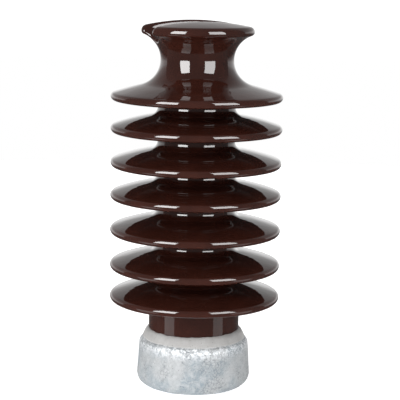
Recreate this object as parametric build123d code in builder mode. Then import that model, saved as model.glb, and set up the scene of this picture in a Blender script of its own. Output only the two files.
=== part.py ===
from build123d import *
import os
from math import asin, cos, degrees, radians, sin, sqrt

# Tie-top line-post insulator: a wet-process porcelain body cemented into a galvanised iron cup.
# Millimetres, +Z up, origin at the centre of the cup's seat, conductor groove along X.
# Every piece but the grooved head is a body of revolution, so each one is drawn as a
# half-section in the YZ plane and revolved about Z.

# Porcelain, with heights measured from the seat
overall_height = 366.2
foot_bottom_z = 26.0
foot_radius = 43.0
foot_chamfer = 2.0
shank_radius = 45.6
shank_bottom_z = 57.0
core_radius = 38.5
neck_radius = 73.0 / 2
neck_flare_radius = 25.6

# Sheds, with heights of their rim centres
shed_radius = 85.2
shed_heights = [91.0, 123.0, 158.5, 193.5, 226.0, 260.0, 291.8]
rim_radius = 4.0
shed_slope = 19.4
shed_dome_radius = 220.0
top_shed_slope = 17.0
top_shed_dome_radius = 700.0
underside_slope = 5.0
upper_root_fillet = 8.5
lower_root_fillet = 8.0
neck_root_fillet = 16.0
root_overlap = 5.0

# Head
head_radius = 56.4
head_lower_rounding = 4.0
head_upper_rounding = 5.5
head_dome_radius = 240.0
conductor_groove_radius = 38.1 / 2
conductor_groove_depth = 20.0
groove_lip_rounding = 1.2

# Iron base
base_height = 50.0
base_radius = 57.3
base_top_radius = 55.3
base_bottom_rounding = 12.0
base_top_rounding = 8.0
base_floor_z = 22.0
socket_radius = 49.5
locking_groove_depth = 2.0
locking_groove_width = 8.0
locking_groove_heights = [31.0, 41.0]
tapping_drill_radius = 16.67 / 2
stud_hole_countersink = 2.0

# Layers between the porcelain and the iron
sand_thickness = 1.2
sand_bottom_z = 30.0
sand_top_z = 53.0
coat_thickness = 0.5
coat_overlap = 1.0
lining_thickness = 0.5
lining_top_gap = 1.0
cork_radius = 42.0

# Cement collar above the iron
collar_edge_angle = 60.0
collar_top_z = 58.5

# Head rim and neck, placed by tangency under the dome
crest_y = conductor_groove_radius + groove_lip_rounding
dome_centre_z = overall_height - sqrt(head_dome_radius**2 - crest_y**2)
upper_rim_x = head_radius - head_upper_rounding
lower_rim_x = head_radius - head_lower_rounding
head_rim_z = dome_centre_z + sqrt((head_dome_radius - head_upper_rounding) ** 2 - upper_rim_x**2)
neck_centre_x = neck_radius + neck_flare_radius
rim_to_neck = head_lower_rounding + neck_flare_radius
neck_z = head_rim_z - sqrt(rim_to_neck**2 - (neck_centre_x - lower_rim_x) ** 2)
lining_floor_z = base_floor_z + lining_thickness

parts_folder = "parts"
os.makedirs(parts_folder, exist_ok=True)


def finish(part, name):
    """Labels a finished piece and writes it as its own STEP file."""
    part.label = name
    export_step(part, f"{parts_folder}/{name}.step")
    print(f"{name}: {len(part.solids())} solid, {part.volume / 1000:.2f} cm3, valid {part.is_valid}")


def shed_section(slope, dome_radius):
    """Half-section of one shed with its rim centre at height 0: domed top, round rim, flat underside."""
    rim_x = shed_radius - rim_radius
    inner_x = core_radius - root_overlap
    top_start = (rim_x + rim_radius * sin(radians(slope)), rim_radius * cos(radians(slope)))
    dome_arc = slope - degrees(asin(sin(radians(slope)) - (top_start[0] - inner_x) / dome_radius))
    under_x = rim_x - rim_radius * sin(radians(underside_slope))
    under_z = -rim_radius * cos(radians(underside_slope))
    under_rise = (under_x - inner_x) * sin(radians(underside_slope)) / cos(radians(underside_slope))
    with BuildSketch(Plane.YZ) as section:
        with BuildLine():
            ThreePointArc((under_x, under_z), (shed_radius, 0), top_start)
            top = JernArc(top_start, (-cos(radians(slope)), sin(radians(slope))), dome_radius, dome_arc)
            Polyline(top @ 1, (inner_x, under_z + under_rise), (under_x, under_z))
        make_face()
    return section.sketch_local


def socket_section(inset):
    """Half-section of the cup's inside with its locking grooves, drawn smaller by inset."""
    wall_x = socket_radius - inset
    groove_x = wall_x + locking_groove_depth
    half_width = locking_groove_width / 2
    flat_half = half_width - locking_groove_depth
    wall = []
    for z in locking_groove_heights:
        wall += [(wall_x, z - half_width), (groove_x, z - flat_half)]
        wall += [(groove_x, z + flat_half), (wall_x, z + half_width)]
    with BuildSketch(Plane.YZ) as section:
        with BuildLine():
            Polyline(
                (0, base_floor_z + inset), (wall_x, base_floor_z + inset), *wall,
                (wall_x, base_height), (0, base_height), close=True,
            )
        make_face()
    return section.sketch_local


# Porcelain body: foot, shank, core, sheds and head in one fired piece
shed = shed_section(shed_slope, shed_dome_radius)
top_shed = shed_section(top_shed_slope, top_shed_dome_radius)

with BuildSketch(Plane.YZ) as porcelain_section:
    rim_direction = Vector(lower_rim_x - neck_centre_x, head_rim_z - neck_z).normalized()
    neck_centre = Vector(neck_centre_x, neck_z)
    flare_end = neck_centre + rim_direction * neck_flare_radius
    flare_start = neck_centre + Vector(-neck_flare_radius, 0).rotate(Axis.Z, 72)
    dome_tangent = Vector(upper_rim_x, head_rim_z - dome_centre_z).normalized()
    dome_start = Vector(0, dome_centre_z) + dome_tangent * head_dome_radius
    with BuildLine():
        Polyline(
            (0, foot_bottom_z),
            (foot_radius - foot_chamfer, foot_bottom_z),
            (foot_radius, foot_bottom_z + foot_chamfer),
            (foot_radius, shank_bottom_z - (shank_radius - foot_radius)),
            (shank_radius, shank_bottom_z),
            (shank_radius, shed_heights[0]),
            (core_radius, shed_heights[0] + rim_radius),
            (core_radius, shed_heights[-1] + rim_radius),
            flare_start,
        )
        ThreePointArc(flare_start, (neck_radius, neck_z), flare_end)
        TangentArc(flare_end, (head_radius, head_rim_z), tangent=rim_direction.rotate(Axis.Z, -90))
        ThreePointArc(
            (head_radius, head_rim_z),
            Vector(upper_rim_x, head_rim_z) + Vector(head_upper_rounding, 0).rotate(Axis.Z, 38),
            dome_start,
        )
        RadiusArc(dome_start, (0, dome_centre_z + head_dome_radius), -head_dome_radius)
        Line((0, dome_centre_z + head_dome_radius), (0, foot_bottom_z))
    make_face()
    with Locations(*[(0, z) for z in shed_heights[:-1]]):
        add(shed)
    with Locations((0, shed_heights[-1])):
        add(top_shed)

    corners = porcelain_section.vertices()
    core_corners = corners.filter_by(lambda corner: abs(corner.X - core_radius) < 0.01).sort_by(Axis.Y)
    shank_corner = corners.filter_by(lambda corner: abs(corner.X - shank_radius) < 0.01).sort_by(Axis.Y)[-1]
    neck_corner = corners.filter_by(lambda corner: corner.Y > shed_heights[-1] + rim_radius)
    neck_corner = neck_corner.sort_by(Axis.Y)[0]
    fillet([*core_corners[1::2], shank_corner], lower_root_fillet)
    fillet(core_corners[0::2], upper_root_fillet)
    fillet(neck_corner, neck_root_fillet)

with BuildPart() as porcelain_body:
    revolve(porcelain_section.sketch, axis=Axis.Z)
    with BuildSketch(Plane.YZ):
        with Locations((0, overall_height - conductor_groove_depth + conductor_groove_radius)):
            Circle(conductor_groove_radius)
            Rectangle(
                2 * conductor_groove_radius, conductor_groove_depth, align=(Align.CENTER, Align.MIN)
            )
    extrude(amount=head_radius, both=True, mode=Mode.SUBTRACT)
    cut_edges = porcelain_body.edges(Select.LAST).filter_by(GeomType.LINE, reverse=True)
    lips = cut_edges.filter_by(
        lambda edge: abs(edge.center().Y) < conductor_groove_radius + 0.01 and edge.center().Z > neck_z
    )
    fillet(lips, groove_lip_rounding)
finish(porcelain_body.part, "porcelain_body")

# Grit band on the foot, and the bituminous coat that wraps it
with BuildSketch(Plane.YZ) as sand_section:
    with Locations((foot_radius, sand_bottom_z)):
        Rectangle(sand_thickness, sand_top_z - sand_bottom_z, align=(Align.MIN, Align.MIN))

with BuildPart() as sanded_band:
    revolve(sand_section.sketch, axis=Axis.Z)
finish(sanded_band.part, "sanded_band")

with BuildSketch(Plane.YZ) as coat_section:
    coat_height = sand_top_z - sand_bottom_z + 2 * coat_overlap
    with Locations((foot_radius, sand_bottom_z - coat_overlap)):
        Rectangle(sand_thickness + coat_thickness, coat_height, align=(Align.MIN, Align.MIN))
    add(sand_section.sketch_local, mode=Mode.SUBTRACT)

with BuildPart() as foot_bitumen_coat:
    revolve(coat_section.sketch, axis=Axis.Z)
finish(foot_bitumen_coat.part, "foot_bitumen_coat")

# Iron cup: rounded outside, socket with locking grooves, tapped hole in the floor
with BuildSketch(Plane.YZ) as casting_section:
    bottom_x = base_radius - base_bottom_rounding
    top_rounding_x = base_top_radius - base_top_rounding
    top_rounding_z = base_height - base_top_rounding
    with BuildLine():
        Line((0, 0), (bottom_x, 0))
        RadiusArc((bottom_x, 0), (base_radius, base_bottom_rounding), -base_bottom_rounding)
        Line((base_radius, base_bottom_rounding), (base_top_radius, top_rounding_z))
        RadiusArc((base_top_radius, top_rounding_z), (top_rounding_x, base_height), -base_top_rounding)
        Polyline((top_rounding_x, base_height), (0, base_height), (0, 0))
    make_face()
    add(socket_section(0), mode=Mode.SUBTRACT)

with BuildPart() as base_casting:
    revolve(casting_section.sketch, axis=Axis.Z)
    with Locations((0, 0, base_floor_z)):
        Hole(tapping_drill_radius, depth=base_floor_z)
    mouth = base_casting.edges().filter_by(GeomType.CIRCLE).group_by(Axis.Z)[0].sort_by(SortBy.RADIUS)[0]
    chamfer(mouth, stud_hole_countersink)
finish(base_casting.part, "base_casting")

# Bituminous lining of the socket, open over the stud hole
with BuildSketch(Plane.YZ) as lining_section:
    add(socket_section(0))
    add(socket_section(lining_thickness), mode=Mode.SUBTRACT)
    with Locations((0, base_floor_z)):
        Rectangle(
            tapping_drill_radius + stud_hole_countersink, lining_thickness,
            align=(Align.MIN, Align.MIN), mode=Mode.SUBTRACT,
        )
    with Locations((0, base_height - lining_top_gap)):
        Rectangle(base_radius, lining_top_gap, align=(Align.MIN, Align.MIN), mode=Mode.SUBTRACT)

with BuildPart() as base_bitumen_lining:
    revolve(lining_section.sketch, axis=Axis.Z)
finish(base_bitumen_lining.part, "base_bitumen_lining")

# Cork disc between the porcelain's end face and the lined floor
with BuildPart() as cork_cushion:
    with BuildSketch(Plane.XY.offset(lining_floor_z)):
        Circle(cork_radius)
    extrude(amount=foot_bottom_z - lining_floor_z)
finish(cork_cushion.part, "cork_cushion")

# Cement: fills all that is left of the socket and slopes up to the shank as a collar
with BuildSketch(Plane.YZ) as cement_section:
    edge_reach = Vector(base_top_rounding, 0).rotate(Axis.Z, collar_edge_angle)
    collar_edge = Vector(top_rounding_x, top_rounding_z) + edge_reach
    with BuildLine():
        Polyline(
            (cork_radius, lining_floor_z),
            (collar_edge.X, lining_floor_z),
            collar_edge,
            (shank_radius, collar_top_z),
            (cork_radius, collar_top_z),
            close=True,
        )
    make_face()
    neighbours = [casting_section, lining_section, porcelain_section, sand_section, coat_section]
    for neighbour in neighbours:
        add(neighbour.sketch_local, mode=Mode.SUBTRACT)

with BuildPart() as cement_fill:
    revolve(cement_section.sketch, axis=Axis.Z)
finish(cement_fill.part, "cement_fill")
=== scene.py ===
import math

import bpy
import numpy as np
from mathutils import Matrix, Vector, noise


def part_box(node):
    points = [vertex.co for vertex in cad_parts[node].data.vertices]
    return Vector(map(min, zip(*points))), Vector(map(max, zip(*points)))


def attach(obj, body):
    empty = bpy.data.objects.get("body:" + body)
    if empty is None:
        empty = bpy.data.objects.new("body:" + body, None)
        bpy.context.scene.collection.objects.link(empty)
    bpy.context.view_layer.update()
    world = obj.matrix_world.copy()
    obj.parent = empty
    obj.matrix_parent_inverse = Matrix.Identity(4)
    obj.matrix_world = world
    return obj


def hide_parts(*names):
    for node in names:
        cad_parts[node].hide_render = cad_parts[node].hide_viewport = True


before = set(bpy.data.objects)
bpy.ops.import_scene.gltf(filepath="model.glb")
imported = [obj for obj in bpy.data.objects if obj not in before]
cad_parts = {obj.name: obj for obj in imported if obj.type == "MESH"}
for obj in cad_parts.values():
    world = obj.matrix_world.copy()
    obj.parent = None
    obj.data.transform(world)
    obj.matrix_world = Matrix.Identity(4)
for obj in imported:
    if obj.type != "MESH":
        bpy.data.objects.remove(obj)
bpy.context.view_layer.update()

# Tie-top line-post insulator: glazed porcelain, cement collar and galvanised iron base.
# Lengths are millimetres in the shared frame, and become metres in the meshes.
MM = 0.001

body_low, body_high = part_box("porcelain_body")
cup_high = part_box("base_casting")[1]
collar_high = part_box("cement_fill")[1]
overall_height = body_high.z / MM
shed_radius = body_high.y / MM
foot_bottom_z = body_low.z / MM
base_radius = cup_high.y / MM
base_lip_z = cup_high.z / MM
collar_top_z = collar_high.z / MM

# Porcelain body
core_radius = 38.5
neck_radius = 36.5
neck_flare_radius = 25.6
shank_radius = 45.6
shank_bottom_z = 57.0
foot_radius = 43.0
foot_chamfer = 2.0

# Sheds, with the heights of their rim centres from the top one down
shed_heights = [291.8, 260.0, 226.0, 193.5, 158.5, 123.0, 91.0]
rim_radius = 4.0
shed_slope = 19.4
shed_dome_radius = 220.0
top_shed_slope = 17.0
top_shed_dome_radius = 700.0
rim_x = shed_radius - rim_radius
underside_slope = 5.0
upper_root_radius = 8.5
lower_root_radius = 8.0

# Head and conductor groove, whose lips grow softer towards its two mouths
head_radius = 56.4
head_lower_rounding = 4.0
head_upper_rounding = 5.5
head_dome_radius = 240.0
groove_radius = 19.05
groove_depth = 20.0
groove_crest = 1.2
lip_radius = 2.8
mouth_lip_radius = 8.0
mouth_start = 0.55

# Iron base
base_crown_z = 50.0
base_top_radius = 55.3
base_bottom_rounding = 12.0
base_top_rounding = 8.0
base_shoulder = (base_top_radius - base_top_rounding, base_crown_z - base_top_rounding)
base_floor_z = 22.0
socket_radius = 49.5
bore_radius = 8.335
bore_mouth = 2.0
thread_depth = 1.15
thread_pitch = 2.54

# Cement collar, with wandering edges on the iron's shoulder and on the shank
edge_angle = 60.0
edge_wander = 6.0
crest_wander = 0.85
crest_drop = 0.7
shank_overlap = 0.4
wander_reach = 30.0

# Mesh fineness: counts round the axis and over the head, and lengths of the steps along outlines
turns = 320
head_rings = 80
press_steps = 90
easing_steps = 110
easing_share = 0.6
head_step = 0.5
root_step = 1.6
dome_step = 3.5
rim_step = 0.9
flat_step = 4.0
shank_step = 2.5
lip_step = 0.5
wall_step = 0.8
seat_step = 1.4
bevel_step = 0.7
socket_step = 3.0
steps_per_thread = 9


# ---------------------------------------------------------------- outlines

def arc(centre, radius, start, end, step):
    """Points on an arc of a half-section, from the start to the end angle in degrees."""
    count = max(2, math.ceil(abs(math.radians(end - start)) * radius / step))
    angles = np.radians(np.linspace(start, end, count + 1))
    return np.stack([centre[0] + radius * np.cos(angles), centre[1] + radius * np.sin(angles)], 1)


def line(start, end, step):
    """Points on a straight stretch of a half-section."""
    count = max(1, math.ceil(math.dist(start, end) / step))
    share = np.linspace(0, 1, count + 1)[:, None]
    return np.array(start) * (1 - share) + np.array(end) * share


def joined(*stretches):
    """One outline from several stretches, without the points that repeat where they meet."""
    points = np.concatenate([np.asarray(s, float).reshape(-1, 2) for s in stretches])
    gaps = np.hypot(*np.diff(points, axis=0).T)
    return points[np.concatenate([[True], gaps > 1e-6])]


def heading(start, end):
    """Angle in degrees of the direction from one point to another."""
    return math.degrees(math.atan2(end[1] - start[1], end[0] - start[0]))


def shed_outline(z, slope, dome_radius, root_x, root_radius, under_x):
    """One shed from the root above it, over its domed top and rim, to the root below it."""
    tilt = math.radians(slope)
    rise = math.radians(underside_slope)
    rim = (rim_x, z)
    reach = dome_radius - rim_radius
    dome = (rim_x - reach * math.sin(tilt), z - reach * math.cos(tilt))
    upper_x = root_x + root_radius
    upper = (upper_x, dome[1] + math.sqrt((dome_radius + root_radius) ** 2 - (upper_x - dome[0]) ** 2))
    lower_x = under_x + lower_root_radius
    under_z = z - rim_radius / math.cos(rise) + (rim_x - lower_x) * math.tan(rise)
    lower = (lower_x, under_z - lower_root_radius / math.cos(rise))
    return joined(
        arc(upper, root_radius, 180, heading(upper, dome) % 360, root_step),
        arc(dome, dome_radius, heading(dome, upper), 90 - slope, dome_step),
        arc(rim, rim_radius, 90 - slope, -90 - underside_slope, rim_step),
        line(
            (rim_x - rim_radius * math.sin(rise), z - rim_radius * math.cos(rise)),
            (lower_x + lower_root_radius * math.sin(rise), lower[1] + lower_root_radius * math.cos(rise)),
            flat_step,
        ),
        arc(lower, lower_root_radius, 90 - underside_slope, 180, root_step),
    )


def porcelain_outline():
    """The body below the neck's waist, from the waist down to the middle of the foot."""
    stretches = []
    for number, z in enumerate(shed_heights):
        top = number == 0
        lowest = number == len(shed_heights) - 1
        stretches.append(shed_outline(
            z,
            top_shed_slope if top else shed_slope,
            top_shed_dome_radius if top else shed_dome_radius,
            neck_radius if top else core_radius,
            neck_flare_radius if top else upper_root_radius,
            shank_radius if lowest else core_radius,
        ))
    foot_bevel_z = shank_bottom_z - (shank_radius - foot_radius)
    stretches += [
        line((shank_radius, stretches[-1][-1][1]), (shank_radius, shank_bottom_z), shank_step),
        [(foot_radius, foot_bevel_z), (foot_radius, foot_bottom_z + foot_chamfer)],
        [(foot_radius - foot_chamfer, foot_bottom_z)],
    ]
    return joined(*stretches)


# ---------------------------------------------------------------- mesh helpers

def rough(point, size, octaves=3):
    """Smooth noise between -1 and 1 with features of about that size in millimetres."""
    place = Vector(point) / size
    if octaves == 1:
        return noise.noise(place)
    return noise.fractal(place, 1.0, 2.0, octaves)


def make_piece(name, points, faces, replaced):
    """A smooth-shaded mesh object from points in millimetres, riding on the root body."""
    mesh = bpy.data.meshes.new(name)
    mesh.from_pydata((np.asarray(points) * MM).tolist(), [], faces)
    mesh.validate()
    mesh.polygons.foreach_set("use_smooth", [True] * len(mesh.polygons))
    piece = bpy.data.objects.new(name, mesh)
    bpy.context.scene.collection.objects.link(piece)
    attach(piece, "root")
    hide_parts(replaced)
    return piece


def revolved(outline):
    """Rings of points about Z, one ring for each point of the outline: rings x turns x 3."""
    angles = np.arange(turns) * 2 * math.pi / turns
    outline = np.asarray(outline)
    return np.stack([
        outline[:, :1] * np.cos(angles),
        outline[:, :1] * np.sin(angles),
        np.repeat(outline[:, 1:], turns, axis=1),
    ], 2)


def ring_faces(rings, first, closed):
    """Quads between neighbouring rings, facing out where the outline runs downwards."""
    faces = []
    for ring in range(rings if closed else rings - 1):
        below = (ring + 1) % rings
        for turn in range(turns):
            after = (turn + 1) % turns
            faces.append((
                first + ring * turns + turn, first + below * turns + turn,
                first + below * turns + after, first + ring * turns + after,
            ))
    return faces


# ---------------------------------------------------------------- porcelain

def head_shape():
    """The head's arcs, placed by tangency between the dome and the neck's flare."""
    waist = shed_outline(
        shed_heights[0], top_shed_slope, top_shed_dome_radius, neck_radius, neck_flare_radius, core_radius,
    )
    neck_z = waist[0][1]
    crest_y = groove_radius + groove_crest
    dome_z = overall_height - math.sqrt(head_dome_radius ** 2 - crest_y ** 2)
    upper_x = head_radius - head_upper_rounding
    lower_x = head_radius - head_lower_rounding
    rim_z = dome_z + math.sqrt((head_dome_radius - head_upper_rounding) ** 2 - upper_x ** 2)
    flare = (neck_radius + neck_flare_radius, neck_z)
    return (0, dome_z), (upper_x, rim_z), (lower_x, rim_z), flare


dome_centre, upper_rim, lower_rim, flare_centre = head_shape()


def head_outline():
    """The head before the groove is cut, from the middle of its dome down to the neck's waist."""
    return joined(
        arc(dome_centre, head_dome_radius, 90, heading(dome_centre, upper_rim), head_step),
        arc(upper_rim, head_upper_rounding, heading(dome_centre, upper_rim), 0, head_step),
        arc(lower_rim, head_lower_rounding, 0, heading(lower_rim, flare_centre), head_step),
        arc(flare_centre, neck_flare_radius, heading(flare_centre, lower_rim), 180, head_step),
    )


def head_field(points):
    """Signed distance to the uncut head: negative inside it."""
    r = np.hypot(points[..., 0], points[..., 1])
    z = points[..., 2]

    def circle(centre, radius):
        return np.hypot(r - centre[0], z - centre[1]) - radius

    past_dome = r * (upper_rim[1] - dome_centre[1]) > upper_rim[0] * (z - dome_centre[1])
    outside = (flare_centre[0] - lower_rim[0]) * (z - lower_rim[1])
    outside -= (flare_centre[1] - lower_rim[1]) * (r - lower_rim[0])
    dome = circle(dome_centre, head_dome_radius)
    flare = -circle(flare_centre, neck_flare_radius)
    above = np.where(past_dome, circle(upper_rim, head_upper_rounding), dome)
    below = np.where(outside > 0, circle(lower_rim, head_lower_rounding), flare)
    return np.where(z > upper_rim[1], above, below)


def cut_head_field(points, lift):
    """Signed distance to the head with its groove raised by lift, its lips rounded over."""
    floor_to_axis = points[..., 2] - (overall_height - groove_depth + groove_radius + lift)
    across = np.hypot(points[..., 1], np.minimum(floor_to_axis, 0))
    groove = groove_radius - across
    head = head_field(points)
    outwards = np.abs(points[..., 0]) / head_radius
    mouth = np.clip((outwards - mouth_start) / (1 - mouth_start), 0, 1)
    lip = lip_radius + (mouth_lip_radius - lip_radius) * mouth ** 2
    rounded = np.hypot(head + lip, groove + lip) - lip
    return np.where((head > -lip) & (groove > -lip), rounded, np.maximum(head, groove))


def settle(points, lift):
    """Moves points along the field's slope onto the head's surface."""
    reach = 0.01
    least_slope = 0.25
    value = cut_head_field(points, lift)
    slope = np.stack([
        (cut_head_field(points + reach * axis, lift) - value) / reach for axis in np.eye(3)
    ], -1)
    steep = np.maximum((slope ** 2).sum(-1), least_slope)
    return points - (value / steep)[..., None] * slope


def head_grid():
    """A square net of points wrapped over the head, with the conductor groove pressed into it."""
    outline = head_outline()
    along = np.concatenate([[0], np.cumsum(np.hypot(*np.diff(outline, axis=0).T))])
    side = np.arange(-head_rings, head_rings + 1)
    across, up = np.meshgrid(side, side, indexing="ij")
    ring = np.maximum(np.abs(across), np.abs(up))
    eighth = math.pi / 4
    safe = np.maximum(ring, 1)
    angle = np.select(
        [across == ring, up == ring, across == -ring],
        [eighth * up / safe, eighth * (2 - across / safe), eighth * (4 - up / safe)],
        eighth * (6 + across / safe),
    )
    reach = ring / head_rings * along[-1]
    r = np.interp(reach, along, outline[:, 0])
    points = np.stack([r * np.cos(angle), r * np.sin(angle), np.interp(reach, along, outline[:, 1])], -1)
    start_gap = 1.0
    highest_lift = groove_depth + start_gap
    for step in range(press_steps + easing_steps):
        lift = highest_lift * max(0, 1 - step / press_steps)
        middle = points[1:-1, 1:-1]
        beside = (points[2:, 1:-1] + points[:-2, 1:-1] + points[1:-1, 2:] + points[1:-1, :-2]) / 4
        eased = middle + easing_share * (beside - middle)
        points[1:-1, 1:-1] = settle(settle(eased, lift), lift)
    return points, ring, angle


def porcelain_mesh():
    """The whole glazed body: the grooved head joined to the revolved neck, sheds, shank and foot."""
    grid, ring, angle = head_grid()
    count = 2 * head_rings + 1
    head_points = grid.reshape(-1, 3)
    number = np.arange(count * count).reshape(count, count)
    faces = np.stack([number[:-1, :-1], number[1:, :-1], number[1:, 1:], number[:-1, 1:]], -1)
    faces = faces.reshape(-1, 4).tolist()

    outer = number[ring == head_rings]
    outer = outer[np.argsort((angle[ring == head_rings] + 2 * math.pi + 1e-6) % (2 * math.pi))].tolist()
    rings = revolved(porcelain_outline()[1:])
    first = len(head_points)
    for turn in range(turns):
        after = (turn + 1) % turns
        left, middle, right = outer[2 * turn], outer[2 * turn + 1], outer[(2 * turn + 2) % len(outer)]
        low_left, low_right = first + turn, first + after
        faces += [(left, low_left, middle), (middle, low_left, low_right), (middle, low_right, right)]
    faces += ring_faces(len(rings), first, closed=False)
    last = first + (len(rings) - 1) * turns
    faces.append([last + turn for turn in reversed(range(turns))])
    return np.concatenate([head_points, rings.reshape(-1, 3)]), faces


def make_porcelain():
    """The glazed body, drawn in by up to about half a millimetre in slow waves, as drying and firing do."""
    points, faces = porcelain_mesh()
    depth = 0.22
    wave_size = 60
    squash = 0.6
    full_radius = 30
    sag = np.array([
        depth * (rough((squash * x, squash * y, z), wave_size, 2) - 1) for x, y, z in points
    ])
    away = np.hypot(points[:, 0], points[:, 1])
    keep = 1 + sag / np.maximum(away, full_radius)
    points[:, :2] *= keep[:, None]
    return make_piece("glazed_porcelain_body", points, faces, "porcelain_body")


# ---------------------------------------------------------------- iron base

def base_outlines():
    """The cup's outline in three parts: outside and seat, then the stud hole, then the hidden socket."""
    bottom_x = base_radius - base_bottom_rounding
    lip_angle = math.degrees(math.acos((socket_radius - base_shoulder[0]) / base_top_rounding))
    outside = joined(
        arc(base_shoulder, base_top_rounding, lip_angle, 0, lip_step),
        line((base_top_radius, base_shoulder[1]), (base_radius, base_bottom_rounding), wall_step),
        arc((bottom_x, base_bottom_rounding), base_bottom_rounding, 0, -90, wall_step),
        line((bottom_x, 0), (bore_radius + bore_mouth, 0), seat_step),
        line((bore_radius + bore_mouth, 0), (bore_radius, bore_mouth), bevel_step),
    )
    bore = line((bore_radius, bore_mouth), (bore_radius, base_floor_z), thread_pitch / steps_per_thread)
    socket = line((socket_radius, base_floor_z), (socket_radius, outside[0][1]), socket_step)
    return outside, bore, socket


def thread_cut(angle, z):
    """Depth of the screw thread at an angle and height in the bore, with flats on crest and root."""
    turn = (angle / (2 * math.pi) + z / thread_pitch) % 1.0
    wave = 1 - abs(2 * turn - 1)
    flat = 0.125
    return thread_depth * min(max((wave - flat) / (1 - 2 * flat), 0), 1)


def cast_depth(point):
    """Offset of the cast skin from the smooth outline in millimetres, always inwards: lumps and pits."""
    lumps = 0.24 * rough(point, 16) + 0.13 * rough(point, 5)
    highest_lump = 0.38
    pit_level = 0.52
    pit = 0.5 * max(0, rough(point + 40, 3.2, 1) - pit_level)
    return min(0, lumps - highest_lump) - pit


def make_base():
    """The iron cup, with its cast skin outside and its screw thread in the stud hole."""
    outside, bore, socket = base_outlines()
    outline = joined(outside, bore, socket)
    rings = revolved(outline)
    tangent = np.gradient(outline, axis=0)
    tangent /= np.hypot(tangent[:, 0], tangent[:, 1])[:, None]
    outward = np.stack([-tangent[:, 1], tangent[:, 0]], 1)
    last_rough_ring = len(outside) - 3
    rings_to_full_depth = 4
    for number, (r, z) in enumerate(outline):
        in_bore = len(outside) - 1 < number < len(outside) + len(bore) - 2
        for turn in range(turns):
            point = rings[number, turn]
            angle = 2 * math.pi * turn / turns
            if in_bore:
                growth = 1 + thread_cut(angle, z) / bore_radius
                point[:2] *= growth
            elif number < last_rough_ring:
                depth = cast_depth(point) * min(1, (number + 1) / rings_to_full_depth)
                point[:2] += depth * outward[number, 0] * point[:2] / r
                point[2] += depth * outward[number, 1]
    faces = ring_faces(len(rings), 0, closed=True)
    return make_piece("galvanised_base", rings.reshape(-1, 3), faces, "base_casting")


# ---------------------------------------------------------------- cement

def collar_edge(side):
    """Where the collar ends on the iron's rounded shoulder, in the half-plane of that direction."""
    angle = math.radians(edge_angle - edge_wander * rough(side * wander_reach, 11))
    out_and_up = np.array([math.cos(angle), math.sin(angle)])
    return np.array(base_shoulder) + base_top_rounding * out_and_up


def collar_crest(side):
    """Where the collar meets the shank, a little inside the glaze, on a line that wanders up and down."""
    climb = crest_wander * rough(side * wander_reach + Vector((0, 0, 50)), 7)
    return np.array([shank_radius - shank_overlap, collar_top_z - crest_drop + climb])


def make_cement():
    """The grout: its trowelled collar above the iron, then the hidden ring inside the socket."""
    rows = 22
    hidden_rows = 4
    bulge = 2.4
    edge_overlap = 0.9
    pinhole_level = 0.5
    hidden_top_z = 46.0
    hidden_bottom_z = base_floor_z + 4
    outer_radius = socket_radius - 0.8
    inner_radius = foot_radius + 2.0
    points = np.zeros((rows + hidden_rows, turns, 3))
    for turn in range(turns):
        angle = 2 * math.pi * turn / turns
        side = Vector((math.cos(angle), math.sin(angle), 0))
        inner = collar_crest(side)
        edge = collar_edge(side)
        for row in range(rows):
            share = row / (rows - 1)
            r, z = inner * (1 - share) + edge * share
            middle = math.sin(math.pi * share)
            place = Vector((side.x * r, side.y * r, z))
            swell = bulge * middle ** 0.8
            trowel_marks = 0.22 * rough(place, 6) * middle
            meniscus = 0.35 * (1 - share) ** 6
            pinhole = 0.25 * max(0, rough(place, 1.8, 1) - pinhole_level)
            points[row, turn] = (place.x, place.y, z + swell + trowel_marks + meniscus - pinhole)
        hidden = [
            edge - edge_overlap,
            (outer_radius, hidden_top_z),
            (outer_radius, hidden_bottom_z),
            (inner_radius, hidden_bottom_z),
        ]
        for row, (r, z) in enumerate(hidden, start=rows):
            points[row, turn] = (side.x * r, side.y * r, z)
    faces = ring_faces(rows + hidden_rows, 0, closed=True)
    return make_piece("cement_collar", points.reshape(-1, 3), faces, "cement_fill")


# ---------------------------------------------------------------- materials

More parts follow.
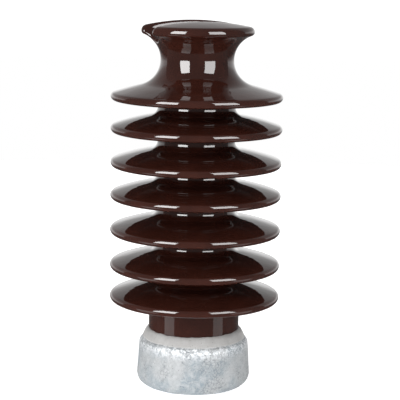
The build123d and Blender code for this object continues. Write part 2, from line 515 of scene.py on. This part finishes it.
class Nodes:
    """A material's node tree with short calls for the nodes that repeat."""

    def __init__(self, name):
        self.material = bpy.data.materials.new(name)
        self.material.use_nodes = True
        self.tree = self.material.node_tree
        self.shader = self.tree.nodes["Principled BSDF"]
        self.place = self.add("ShaderNodeTexCoord").outputs["Object"]

    def add(self, kind, **values):
        node = self.tree.nodes.new(kind)
        for name, value in values.items():
            setattr(node, name, value)
        return node

    def link(self, source, target):
        self.tree.links.new(source, target)

    def feed(self, target, source):
        """Links a socket, or sets a plain value."""
        if isinstance(source, bpy.types.NodeSocket):
            self.link(source, target)
        else:
            target.default_value = source

    def noise(self, size_mm, detail=3.0, rough=0.5, distortion=0.0):
        node = self.add("ShaderNodeTexNoise")
        node.inputs["Scale"].default_value = 1 / (size_mm * MM)
        node.inputs["Detail"].default_value = detail
        node.inputs["Roughness"].default_value = rough
        node.inputs["Distortion"].default_value = distortion
        self.link(self.place, node.inputs["Vector"])
        return node.outputs["Fac"]

    def cells(self, size_mm, feature="F1", output="Distance"):
        node = self.add("ShaderNodeTexVoronoi", feature=feature)
        node.inputs["Scale"].default_value = 1 / (size_mm * MM)
        self.link(self.place, node.inputs["Vector"])
        return node.outputs[output]

    def span(self, source, low, high, to_low=0.0, to_high=1.0):
        node = self.add("ShaderNodeMapRange", interpolation_type="SMOOTHSTEP")
        self.feed(node.inputs["Value"], source)
        set_range(node, low, high, to_low, to_high)
        return node.outputs["Result"]

    def math(self, operation, first, second=0.0):
        node = self.add("ShaderNodeMath", operation=operation)
        self.feed(node.inputs[0], first)
        self.feed(node.inputs[1], second)
        return node.outputs["Value"]

    def mix(self, share, first, second):
        node = self.add("ShaderNodeMix", data_type="RGBA")
        colours = [socket for socket in node.inputs if socket.type == "RGBA"]
        self.feed(node.inputs["Factor"], share)
        self.feed(colours[0], first)
        self.feed(colours[1], second)
        return node.outputs[2]

    def bump(self, height, depth_mm, under=None):
        node = self.add("ShaderNodeBump")
        node.inputs["Distance"].default_value = depth_mm * MM
        self.link(height, node.inputs["Height"])
        if under is not None:
            self.link(under, node.inputs["Normal"])
        return node.outputs["Normal"]


def rgb(red, green, blue):
    return (red, green, blue, 1.0)


def set_range(node, low, high, to_low, to_high):
    """The two ends of a Map Range node, and what they become."""
    for name, value in (("From Min", low), ("From Max", high), ("To Min", to_low), ("To Max", to_high)):
        node.inputs[name].default_value = value


def axis_distance(nodes):
    """Distance of the shaded point from the axis, in metres."""
    split = nodes.add("ShaderNodeSeparateXYZ")
    nodes.link(nodes.place, split.inputs[0])
    x, y, _ = split.outputs
    return nodes.math("SQRT", nodes.math("ADD", nodes.math("MULTIPLY", x, x), nodes.math("MULTIPLY", y, y)))


def seat_height(nodes):
    """Height of the shaded point above the seat, in metres."""
    split = nodes.add("ShaderNodeSeparateXYZ")
    nodes.link(nodes.place, split.inputs[0])
    return split.outputs["Z"]


def glaze_material():
    """Iron-brown glaze: deep and even, a little thinner on the rims, with fine flecks and a wavy gloss."""
    nodes = Nodes("brown_glaze")
    shader = nodes.shader
    cloud = nodes.span(nodes.noise(26, 5), 0.35, 0.65)
    fleck = nodes.span(nodes.noise(0.9, 2), 0.62, 0.74)
    pale_fleck = nodes.span(nodes.cells(5.5), 0.055, 0.03)
    deep = nodes.mix(cloud, rgb(0.033, 0.0094, 0.0062), rgb(0.043, 0.0122, 0.0080))
    edge = nodes.span(axis_distance(nodes), rim_x * MM, (shed_radius - 0.4) * MM, 0.0, 0.1)
    thin = nodes.mix(edge, deep, rgb(0.075, 0.021, 0.013))
    flecked = nodes.mix(nodes.math("MULTIPLY", fleck, 0.35), thin, rgb(0.012, 0.006, 0.005))
    colour = nodes.mix(nodes.math("MULTIPLY", pale_fleck, 0.3), flecked, rgb(0.14, 0.06, 0.038))
    nodes.link(colour, shader.inputs["Base Color"])
    smear = nodes.span(nodes.noise(9, 4), 0.3, 0.75, 0.02, 0.055)
    dull_fleck = nodes.math("MULTIPLY", fleck, 0.05)
    nodes.link(nodes.math("ADD", smear, dull_fleck), shader.inputs["Roughness"])
    shader.inputs["IOR"].default_value = 1.52
    swell = nodes.bump(nodes.noise(15, 2), 0.16)
    peel = nodes.bump(nodes.noise(3.2, 2), 0.012, swell)
    grain = nodes.bump(pale_fleck, 0.02, peel)
    nodes.link(grain, shader.inputs["Normal"])
    return nodes.material


def cement_material():
    """Portland cement: pale grey, with damp clouds, sand grains and pinholes, the pinholes darkened with
    painted shade.
    """
    nodes = Nodes("pale_cement")
    shader = nodes.shader
    cloud = nodes.span(nodes.noise(14, 5, 0.6), 0.3, 0.7)
    grain = nodes.noise(0.7, 3, 0.7)
    pinhole = nodes.span(nodes.cells(3.4), 0.115, 0.08)
    paste = nodes.mix(cloud, rgb(0.44, 0.435, 0.43), rgb(0.545, 0.545, 0.54))
    sandy = nodes.mix(nodes.span(grain, 0.42, 0.62, 0.0, 0.35), paste, rgb(0.40, 0.37, 0.34))
    # Painted shade: the pinholes are darkened in the colour, besides being pressed in by the bump below.
    colour = nodes.mix(nodes.math("MULTIPLY", pinhole, 0.75), sandy, rgb(0.12, 0.11, 0.10))
    nodes.link(colour, shader.inputs["Base Color"])
    nodes.link(nodes.span(cloud, 0, 1, 0.78, 0.92), shader.inputs["Roughness"])
    lumps = nodes.bump(nodes.noise(4.5, 4), 0.25)
    sand = nodes.bump(grain, 0.09, lumps)
    holes = nodes.bump(nodes.math("SUBTRACT", 1.0, pinhole), 0.35, sand)
    nodes.link(holes, shader.inputs["Normal"])
    return nodes.material


def wavy_web(nodes):
    """Distance to the edges of a net of cells about 3 mm wide, bent by a finer noise."""
    cell_size = 3.1 * MM
    bend_size = 2.5 * MM
    bend_reach = 2.4 * MM
    warp = nodes.add("ShaderNodeVectorMath", operation="MULTIPLY_ADD")
    wander = nodes.add("ShaderNodeTexNoise")
    wander.inputs["Scale"].default_value = 1 / bend_size
    nodes.link(nodes.place, wander.inputs["Vector"])
    nodes.link(wander.outputs["Color"], warp.inputs[0])
    warp.inputs[1].default_value = (bend_reach, bend_reach, bend_reach)
    nodes.link(nodes.place, warp.inputs[2])
    web = nodes.add("ShaderNodeTexVoronoi", feature="DISTANCE_TO_EDGE")
    web.inputs["Scale"].default_value = 1 / cell_size
    nodes.link(warp.outputs["Vector"], web.inputs["Vector"])
    return web.outputs["Distance"]


def galvanised_material():
    """Hot-dip zinc on rough iron: bluish grey and white bloom, dark veins, pits darkened with painted
    shade, and spangle crystals whitened near the top as a painted highlight.
    """
    nodes = Nodes("galvanised_zinc")
    shader = nodes.shader
    cloud = nodes.span(nodes.noise(30, 3, 0.5), 0.40, 0.62)
    blotch = nodes.noise(5.5, 8, 0.78, 0.8)
    grain = nodes.noise(0.9, 5, 0.8)
    patch = nodes.span(nodes.noise(17, 3, 0.6), 0.42, 0.58)
    vein = nodes.math("MULTIPLY", nodes.span(wavy_web(nodes), 0.09, 0.01), patch)
    pit = nodes.span(nodes.cells(3.3), 0.17, 0.10)
    # Painted highlight: in a band near the top the spangle crystals are whitened in the colour, and also
    # made more metallic.
    near_top = nodes.span(seat_height(nodes), (base_lip_z - 16) * MM, (base_lip_z - 5) * MM)
    crystal = nodes.span(nodes.noise(3.4, 6, 0.75, 1.0), 0.45, 0.55)
    spangle_and_painted_highlight = nodes.math("MULTIPLY", crystal, near_top)
    zinc = nodes.mix(cloud, rgb(0.300, 0.350, 0.385), rgb(0.450, 0.468, 0.478))
    blotched = nodes.mix(nodes.span(blotch, 0.38, 0.66, 0.0, 0.75), zinc, rgb(0.56, 0.575, 0.585))
    grained = nodes.mix(nodes.span(grain, 0.54, 0.68, 0.0, 0.55), blotched, rgb(0.20, 0.225, 0.25))
    veined = nodes.mix(nodes.math("MULTIPLY", vein, 0.6), grained, rgb(0.155, 0.175, 0.20))
    # Painted shade: the pits are darkened in the colour, besides being pressed in by the bump below.
    pitted = nodes.mix(nodes.math("MULTIPLY", pit, 0.6), veined, rgb(0.12, 0.13, 0.15))
    # Painted highlight: the crystals near the top are mixed towards near white.
    colour = nodes.mix(nodes.math("MULTIPLY", spangle_and_painted_highlight, 0.8), pitted, rgb(0.82, 0.84, 0.86))
    nodes.link(colour, shader.inputs["Base Color"])
    nodes.link(nodes.span(spangle_and_painted_highlight, 0, 1, 0.06, 0.5), shader.inputs["Metallic"])
    nodes.link(nodes.span(grain, 0.3, 0.7, 0.42, 0.62), shader.inputs["Roughness"])
    shader.inputs["Specular IOR Level"].default_value = 0.25
    lumps = nodes.bump(blotch, 0.7)
    runs = nodes.bump(nodes.math("SUBTRACT", 1.0, vein), 0.16, lumps)
    pits = nodes.bump(nodes.math("SUBTRACT", 1.0, pit), 0.25, runs)
    sand = nodes.bump(grain, 0.22, pits)
    nodes.link(sand, shader.inputs["Normal"])
    return nodes.material


def grit_material():
    """Crushed porcelain grit held in glaze: pale brown grains with dark gaps."""
    nodes = Nodes("porcelain_grit")
    shader = nodes.shader
    grain = nodes.cells(1.1)
    tint = nodes.cells(1.1, output="Color")
    split = nodes.add("ShaderNodeSeparateColor")
    nodes.link(tint, split.inputs[0])
    stone = nodes.mix(split.outputs[0], rgb(0.46, 0.34, 0.24), rgb(0.72, 0.64, 0.54))
    colour = nodes.mix(nodes.span(grain, 0.35, 0.6), stone, rgb(0.14, 0.08, 0.05))
    nodes.link(colour, shader.inputs["Base Color"])
    nodes.link(nodes.span(grain, 0.2, 0.6, 0.45, 0.85), shader.inputs["Roughness"])
    nodes.link(nodes.bump(nodes.math("SUBTRACT", 1.0, grain), 0.5), shader.inputs["Normal"])
    return nodes.material


def bitumen_material():
    """Brushed-on bitumen: near black, half glossy, with brush sags and dust."""
    nodes = Nodes("bitumen")
    shader = nodes.shader
    sag = nodes.noise(6, 4, 0.6)
    dust = nodes.span(nodes.noise(1.2, 4, 0.7), 0.55, 0.72, 0.0, 0.4)
    black = nodes.mix(sag, rgb(0.010, 0.009, 0.008), rgb(0.028, 0.024, 0.020))
    nodes.link(nodes.mix(dust, black, rgb(0.10, 0.09, 0.08)), shader.inputs["Base Color"])
    nodes.link(nodes.span(sag, 0.3, 0.7, 0.28, 0.6), shader.inputs["Roughness"])
    nodes.link(nodes.bump(sag, 0.35), shader.inputs["Normal"])
    return nodes.material


def cork_material():
    """Pressed cork: tan granules with dark seams between them."""
    nodes = Nodes("pressed_cork")
    shader = nodes.shader
    seam = nodes.span(nodes.cells(2.4, "DISTANCE_TO_EDGE"), 0.09, 0.02)
    tint = nodes.cells(2.4, output="Color")
    split = nodes.add("ShaderNodeSeparateColor")
    nodes.link(tint, split.inputs[0])
    granule = nodes.mix(split.outputs[0], rgb(0.30, 0.17, 0.085), rgb(0.52, 0.34, 0.19))
    speck = nodes.mix(nodes.span(nodes.noise(0.6, 3, 0.6), 0.58, 0.68), granule, rgb(0.14, 0.07, 0.035))
    nodes.link(nodes.mix(seam, speck, rgb(0.09, 0.045, 0.02)), shader.inputs["Base Color"])
    nodes.link(nodes.span(nodes.noise(3, 3), 0.3, 0.7, 0.8, 0.95), shader.inputs["Roughness"])
    nodes.link(nodes.bump(nodes.math("SUBTRACT", 1.0, seam), 0.25), shader.inputs["Normal"])
    return nodes.material


def dress(piece, material):
    piece.data.materials.clear()
    piece.data.materials.append(material)


# ---------------------------------------------------------------- studio

def aim(thing, place, target, roll=0.0):
    """Puts a light or camera at a place, looking at a target."""
    look = (Vector(target) - Vector(place)).to_track_quat("-Z", "Y").to_matrix().to_4x4()
    thing.matrix_world = Matrix.Translation(Vector(place)) @ look @ Matrix.Rotation(roll, 4, "Z")


def add_light(name, kind, power, **values):
    data = bpy.data.lights.new(name, kind)
    data.energy = power
    for key, value in values.items():
        setattr(data, key, value)
    light = bpy.data.objects.new(name, data)
    bpy.context.scene.collection.objects.link(light)
    return light


# Lengths in the studio are metres, and turns are degrees from the viewing side, to the right.
view_turn = math.radians(17)
front = Vector((-math.sin(view_turn), -math.cos(view_turn), 0))
right = Vector((math.cos(view_turn), -math.sin(view_turn), 0))


def around(azimuth, distance, height):
    """A place round the object, at a turn, a distance from the axis and a height."""
    angle = math.radians(azimuth)
    flat = front * math.cos(angle) + right * math.sin(angle)
    return flat * distance + Vector((0, 0, height))


def make_camera():
    """The photograph's view: from the front, a little above the middle, looking slightly down."""
    distance = 1.4442
    height = 0.4334
    sideways = 0.00455
    dip = math.radians(9.643)
    roll = math.radians(0.85)
    data = bpy.data.cameras.new("camera")
    data.sensor_width = 36.0
    data.lens = 132.0
    camera = bpy.data.objects.new("camera", data)
    bpy.context.scene.collection.objects.link(camera)
    place = front * distance + right * sideways + Vector((0, 0, height))
    look = -front * math.cos(dip) - Vector((0, 0, math.sin(dip)))
    aim(camera, place, place + look, roll)
    bpy.context.scene.camera = camera


def make_softboxes():
    """Two tall softboxes in front, left and right of the camera, seen only as reflections."""
    distance = 0.95
    height = 0.94
    middle_z = 0.66
    for name, azimuth, width, power in (
        ("left_softbox", -38.5, 0.50, 24.0),
        ("right_softbox", 39.5, 0.56, 18.5),
    ):
        box = add_light(name, "AREA", power, shape="RECTANGLE", size=width, size_y=height)
        aim(box, around(azimuth, distance, middle_z), (0, 0, middle_z))
        box.visible_diffuse = False


def make_floor_strips():
    """Two dim panels beside the base, seen only as soft bands in the shank's glaze."""
    distance = 0.29
    target_z = 0.08
    for name, azimuth, power in (("left_strip", -60, 0.095), ("right_strip", 61, 0.07)):
        strip = add_light(name, "AREA", power, shape="RECTANGLE", size=0.14, size_y=0.16)
        aim(strip, around(azimuth, distance, 0.0), (0, 0, target_z))
        strip.visible_diffuse = False
        strip.visible_camera = False


def make_world():
    """A white backdrop for the camera; in reflections, a pale wall behind and a dim room in front."""
    room_glow = 0.2
    wall_start = -0.30
    wall_full = -0.36
    wall_gain = 1.3
    # Brightness of the wall from straight down to straight up, brightest near eye level.
    wall_stops = (
        (0.0, 0.08), (0.37, 0.08), (0.44, 0.47), (0.48, 0.97),
        (0.545, 0.97), (0.60, 0.56), (0.75, 0.36), (0.95, 0.15),
    )
    world = bpy.data.worlds.new("studio")
    bpy.context.scene.world = world
    world.use_nodes = True
    tree = world.node_tree
    add = tree.nodes.new
    link = tree.links.new
    direction = add("ShaderNodeTexCoord").outputs["Generated"]
    towards = add("ShaderNodeVectorMath")
    towards.operation = "DOT_PRODUCT"
    towards.inputs[1].default_value = front
    link(direction, towards.inputs[0])
    split = add("ShaderNodeSeparateXYZ")
    link(direction, split.inputs[0])

    behind = add("ShaderNodeMapRange")
    link(towards.outputs["Value"], behind.inputs["Value"])
    set_range(behind, wall_start, wall_full, 0.0, 1.0)
    upwards = add("ShaderNodeMapRange")
    link(split.outputs["Z"], upwards.inputs["Value"])
    set_range(upwards, -1.0, 1.0, 0.0, 1.0)

    wall = add("ShaderNodeValToRGB")
    for position, grey in wall_stops:
        stop = wall.color_ramp.elements.new(position)
        stop.color = rgb(grey, grey, grey)
    wall.color_ramp.elements.remove(wall.color_ramp.elements[0])
    wall.color_ramp.elements.remove(wall.color_ramp.elements[-1])
    link(upwards.outputs["Result"], wall.inputs["Fac"])
    brighter = add("ShaderNodeMath")
    brighter.operation = "MULTIPLY"
    brighter.inputs[1].default_value = wall_gain
    link(wall.outputs["Color"], brighter.inputs[0])

    glow = add("ShaderNodeMix")
    glow.data_type = "FLOAT"
    link(behind.outputs["Result"], glow.inputs["Factor"])
    glow.inputs["A"].default_value = room_glow
    link(brighter.outputs[0], glow.inputs["B"])
    seen = add("ShaderNodeLightPath").outputs["Is Camera Ray"]
    backdrop = add("ShaderNodeMath")
    backdrop.operation = "MAXIMUM"
    link(seen, backdrop.inputs[0])
    link(glow.outputs["Result"], backdrop.inputs[1])
    background = tree.nodes["Background"]
    background.inputs["Color"].default_value = rgb(1, 1, 1)
    link(backdrop.outputs[0], background.inputs["Strength"])


def make_floor():
    """A plain pale floor, left out of the glaze's reflections."""
    radius = 1.6
    sides = 96
    mesh = bpy.data.meshes.new("floor")
    angles = [2 * math.pi * side / sides for side in range(sides)]
    rim = [(radius * math.cos(angle), radius * math.sin(angle), 0) for angle in angles]
    mesh.from_pydata(rim, [], [tuple(range(sides))])
    floor = bpy.data.objects.new("floor", mesh)
    bpy.context.scene.collection.objects.link(floor)
    floor.visible_glossy = False
    nodes = Nodes("pale_floor")
    nodes.shader.inputs["Base Color"].default_value = rgb(0.9, 0.9, 0.9)
    nodes.shader.inputs["Roughness"].default_value = 0.9
    nodes.shader.inputs["Specular IOR Level"].default_value = 0.0
    nodes.shader.inputs["Emission Color"].default_value = rgb(1, 1, 1)
    nodes.shader.inputs["Emission Strength"].default_value = 0.75
    mesh.materials.append(nodes.material)


def make_fill():
    """Soft light for matt surfaces: two keys from the front, and a broad one from above."""
    for name, azimuth, elevation, spread, power in (
        ("left_key", -40, 20, 25, 1.65),
        ("right_key", 42, 20, 25, 0.35),
        ("top_fill", 0, 65, 90, 0.95),
    ):
        key = add_light(name, "SUN", power, angle=math.radians(spread))
        rise = math.tan(math.radians(elevation))
        aim(key, around(azimuth, 1.0, rise), (0, 0, 0))
        key.visible_glossy = False


# ---------------------------------------------------------------- assembly

porcelain = make_porcelain()
base = make_base()
cement = make_cement()
bitumen = bitumen_material()
dress(porcelain, glaze_material())
dress(base, galvanised_material())
dress(cement, cement_material())
dress(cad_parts["sanded_band"], grit_material())
dress(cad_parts["foot_bitumen_coat"], bitumen)
dress(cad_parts["base_bitumen_lining"], bitumen)
dress(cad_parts["cork_cushion"], cork_material())

make_camera()
make_softboxes()
make_floor_strips()
make_world()
make_floor()
make_fill()
bpy.context.scene.view_settings.view_transform = "Standard"
